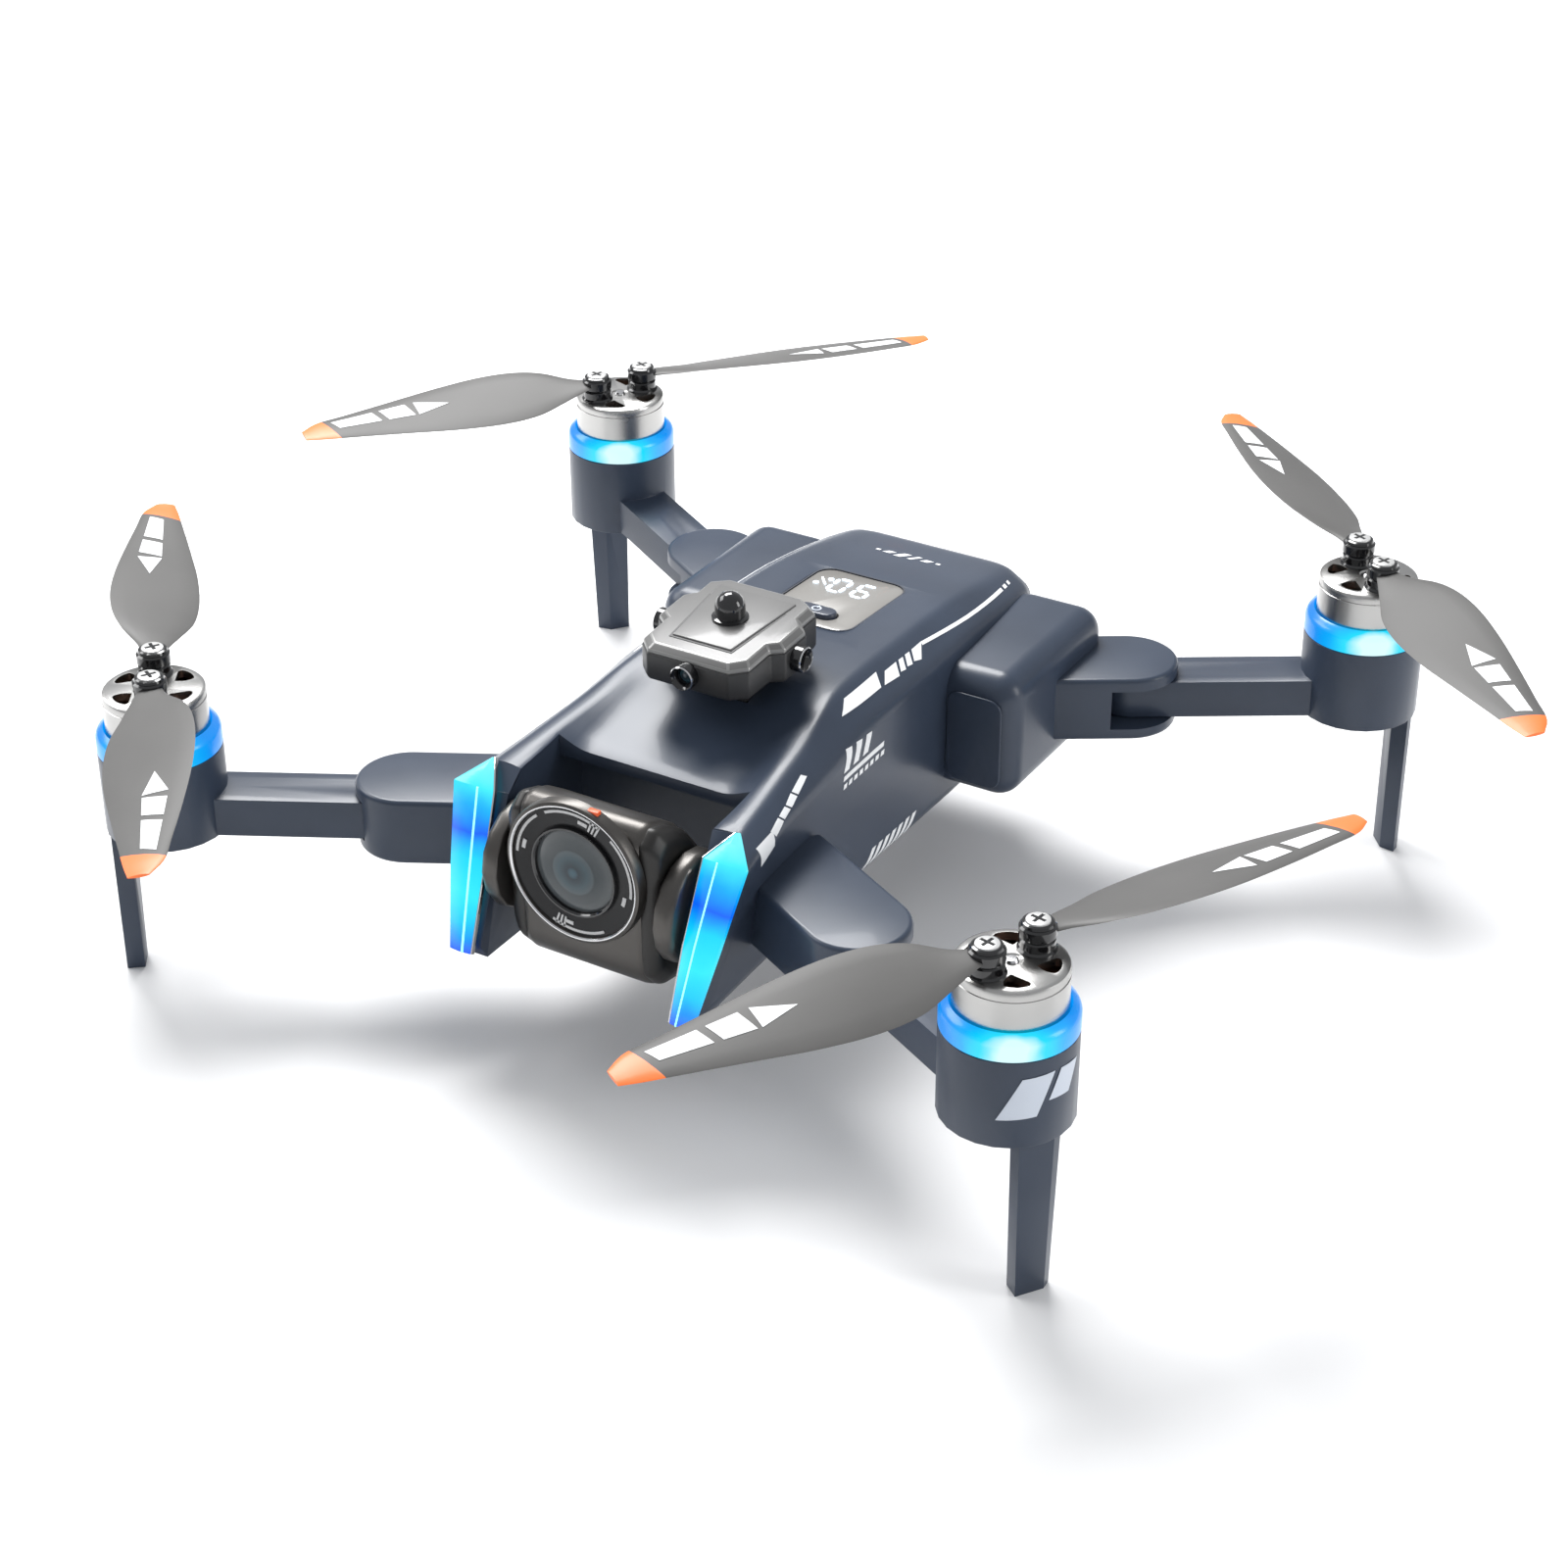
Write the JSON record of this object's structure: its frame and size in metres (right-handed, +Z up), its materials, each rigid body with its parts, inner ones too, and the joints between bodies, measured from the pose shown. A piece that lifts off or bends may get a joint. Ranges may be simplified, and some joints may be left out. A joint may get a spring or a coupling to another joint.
{
  "type": "foldable camera quadcopter",
  "caption": "Foldable camera quadcopter with hinged arms, folding rotor blades, tilting nose camera, lift-off obstacle sensor and slide-in battery.",
  "frame": {"origin": "centre line of the flat belly underside, midway between the arm forks", "axes": "+Z up, nose and camera towards -Y, +X to the viewer's right when facing the nose"},
  "size_m": [0.271, 0.2697, 0.0756],
  "materials": {
    "navy_plastic": "satin slate navy moulding",
    "navy_belly": "darker navy moulding",
    "glow_blue": "clear blue light guide",
    "bright_steel": "turned and polished",
    "motor_windings": "enamelled windings on a laminated core",
    "blade_grey": "semi-matt grey with orange tips",
    "module_grey": "warm dark grey",
    "gloss_black": "gloss black",
    "camera_grey": "metallic warm grey",
    "lens_glass": "coated optical glass",
    "display_panel": "warm grey window over a lit display",
    "circuit_board": "green solder mask",
    "battery_case": "matt navy"
  },
  "bodies": {
    "airframe": {"upper_shell": "navy_plastic", "belly_plate": "navy_belly", "flow_sensor": "gloss_black", "display_panel": "display_panel", "light_strip_left": "glow_blue", "light_strip_right": "glow_blue", "flight_board": "circuit_board", "camera_axle": "camera_grey"},
    "battery": {"battery": "battery_case"},
    "power_button": {"power_button": "navy_belly"},
    "obstacle_module": {"module_housing": "module_grey", "module_stem": "module_grey", "sky_dome": "gloss_black", "front_sensor": "gloss_black", "left_sensor": "gloss_black", "right_sensor": "gloss_black"},
    "camera": {"camera_housing": "camera_grey", "lens_bezel": "gloss_black", "lens_glass": "lens_glass"},
    "arm_front_left": {"arm_front_left": "navy_plastic", "leg_front_left": "navy_plastic", "light_ring_front_left": "glow_blue", "stator_front_left": "motor_windings"},
    "rotor_front_left": {"motor_bell_front_left": "bright_steel", "blade_screw_front_left_a": "bright_steel", "blade_screw_front_left_b": "bright_steel"},
    "blade_front_left_a": {"blade_front_left_a": "blade_grey"},
    "blade_front_left_b": {"blade_front_left_b": "blade_grey"},
    "arm_front_right": {"arm_front_right": "navy_plastic", "leg_front_right": "navy_plastic", "light_ring_front_right": "glow_blue", "stator_front_right": "motor_windings"},
    "rotor_front_right": {"motor_bell_front_right": "bright_steel", "blade_screw_front_right_a": "bright_steel", "blade_screw_front_right_b": "bright_steel"},
    "blade_front_right_a": {"blade_front_right_a": "blade_grey"},
    "blade_front_right_b": {"blade_front_right_b": "blade_grey"},
    "arm_rear_left": {"arm_rear_left": "navy_plastic", "leg_rear_left": "navy_plastic", "light_ring_rear_left": "glow_blue", "stator_rear_left": "motor_windings"},
    "rotor_rear_left": {"motor_bell_rear_left": "bright_steel", "blade_screw_rear_left_a": "bright_steel", "blade_screw_rear_left_b": "bright_steel"},
    "blade_rear_left_a": {"blade_rear_left_a": "blade_grey"},
    "blade_rear_left_b": {"blade_rear_left_b": "blade_grey"},
    "arm_rear_right": {"arm_rear_right": "navy_plastic", "leg_rear_right": "navy_plastic", "light_ring_rear_right": "glow_blue", "stator_rear_right": "motor_windings"},
    "rotor_rear_right": {"motor_bell_rear_right": "bright_steel", "blade_screw_rear_right_a": "bright_steel", "blade_screw_rear_right_b": "bright_steel"},
    "blade_rear_right_a": {"blade_rear_right_a": "blade_grey"},
    "blade_rear_right_b": {"blade_rear_right_b": "blade_grey"}
  },
  "joints": [
    {"name": "fold_front_left", "type": "hinge", "parent": "airframe", "child": "arm_front_left", "pos_m": [-0.0476, -0.052, 0.0153], "axis": [0, 0, -1], "range_deg": [0, 100]},
    {"name": "spin_front_left", "type": "hinge", "parent": "arm_front_left", "child": "rotor_front_left", "pos_m": [-0.08756, -0.07334, 0.031], "axis": [0, 0, 1], "continuous": true},
    {"name": "blade_fold_front_left_a", "type": "hinge", "parent": "rotor_front_left", "child": "blade_front_left_a", "pos_m": [-0.09084, -0.06905, 0.0429], "axis": [0, 0, 1], "range_deg": [-90, 90]},
    {"name": "blade_fold_front_left_b", "type": "hinge", "parent": "rotor_front_left", "child": "blade_front_left_b", "pos_m": [-0.08428, -0.07763, 0.0429], "axis": [0, 0, 1], "range_deg": [-90, 90]},
    {"name": "fold_front_right", "type": "hinge", "parent": "airframe", "child": "arm_front_right", "pos_m": [0.0476, -0.052, 0.0153], "axis": [0, 0, -1], "range_deg": [-100, 0]},
    {"name": "spin_front_right", "type": "hinge", "parent": "arm_front_right", "child": "rotor_front_right", "pos_m": [0.08756, -0.07334, 0.031], "axis": [0, 0, 1], "continuous": true},
    {"name": "blade_fold_front_right_a", "type": "hinge", "parent": "rotor_front_right", "child": "blade_front_right_a", "pos_m": [0.08571, -0.07841, 0.0429], "axis": [0, 0, 1], "range_deg": [-90, 90]},
    {"name": "blade_fold_front_right_b", "type": "hinge", "parent": "rotor_front_right", "child": "blade_front_right_b", "pos_m": [0.08941, -0.06826, 0.0429], "axis": [0, 0, 1], "range_deg": [-90, 90]},
    {"name": "fold_rear_left", "type": "hinge", "parent": "airframe", "child": "arm_rear_left", "pos_m": [-0.0477, 0.0539, 0.0174], "axis": [0, 0, -1], "range_deg": [-80, 0]},
    {"name": "spin_rear_left", "type": "hinge", "parent": "arm_rear_left", "child": "rotor_rear_left", "pos_m": [-0.08622, 0.07774, 0.0331], "axis": [0, 0, 1], "continuous": true},
    {"name": "blade_fold_rear_left_a", "type": "hinge", "parent": "rotor_rear_left", "child": "blade_rear_left_a", "pos_m": [-0.0889, 0.07305, 0.045], "axis": [0, 0, 1], "range_deg": [-90, 90]},
    {"name": "blade_fold_rear_left_b", "type": "hinge", "parent": "rotor_rear_left", "child": "blade_rear_left_b", "pos_m": [-0.08354, 0.08243, 0.045], "axis": [0, 0, 1], "range_deg": [-90, 90]},
    {"name": "fold_rear_right", "type": "hinge", "parent": "airframe", "child": "arm_rear_right", "pos_m": [0.0477, 0.0539, 0.0174], "axis": [0, 0, -1], "range_deg": [0, 80]},
    {"name": "spin_rear_right", "type": "hinge", "parent": "arm_rear_right", "child": "rotor_rear_right", "pos_m": [0.08622, 0.07774, 0.0331], "axis": [0, 0, 1], "continuous": true},
    {"name": "blade_fold_rear_right_a", "type": "hinge", "parent": "rotor_rear_right", "child": "blade_rear_right_a", "pos_m": [0.0823, 0.08145, 0.045], "axis": [0, 0, 1], "range_deg": [-90, 90]},
    {"name": "blade_fold_rear_right_b", "type": "hinge", "parent": "rotor_rear_right", "child": "blade_rear_right_b", "pos_m": [0.09014, 0.07403, 0.045], "axis": [0, 0, 1], "range_deg": [-90, 90]},
    {"name": "camera_tilt", "type": "hinge", "parent": "airframe", "child": "camera", "pos_m": [0, -0.058, 0.0185], "axis": [1, 0, 0], "range_deg": [-25, 25]},
    {"name": "battery_slide", "type": "slide", "parent": "airframe", "child": "battery", "axis": [0, 1, 0], "range_m": [0, 0.075]},
    {"name": "power_press", "type": "slide", "parent": "airframe", "child": "power_button", "axis": [0, -0.0599, -0.9982], "range_m": [0, 0.0006], "stiffness_N_per_m": 600},
    {"name": "module_lift", "type": "slide", "parent": "airframe", "child": "obstacle_module", "axis": [0, 0, 1], "range_m": [0, 0.02]}
  ]
}
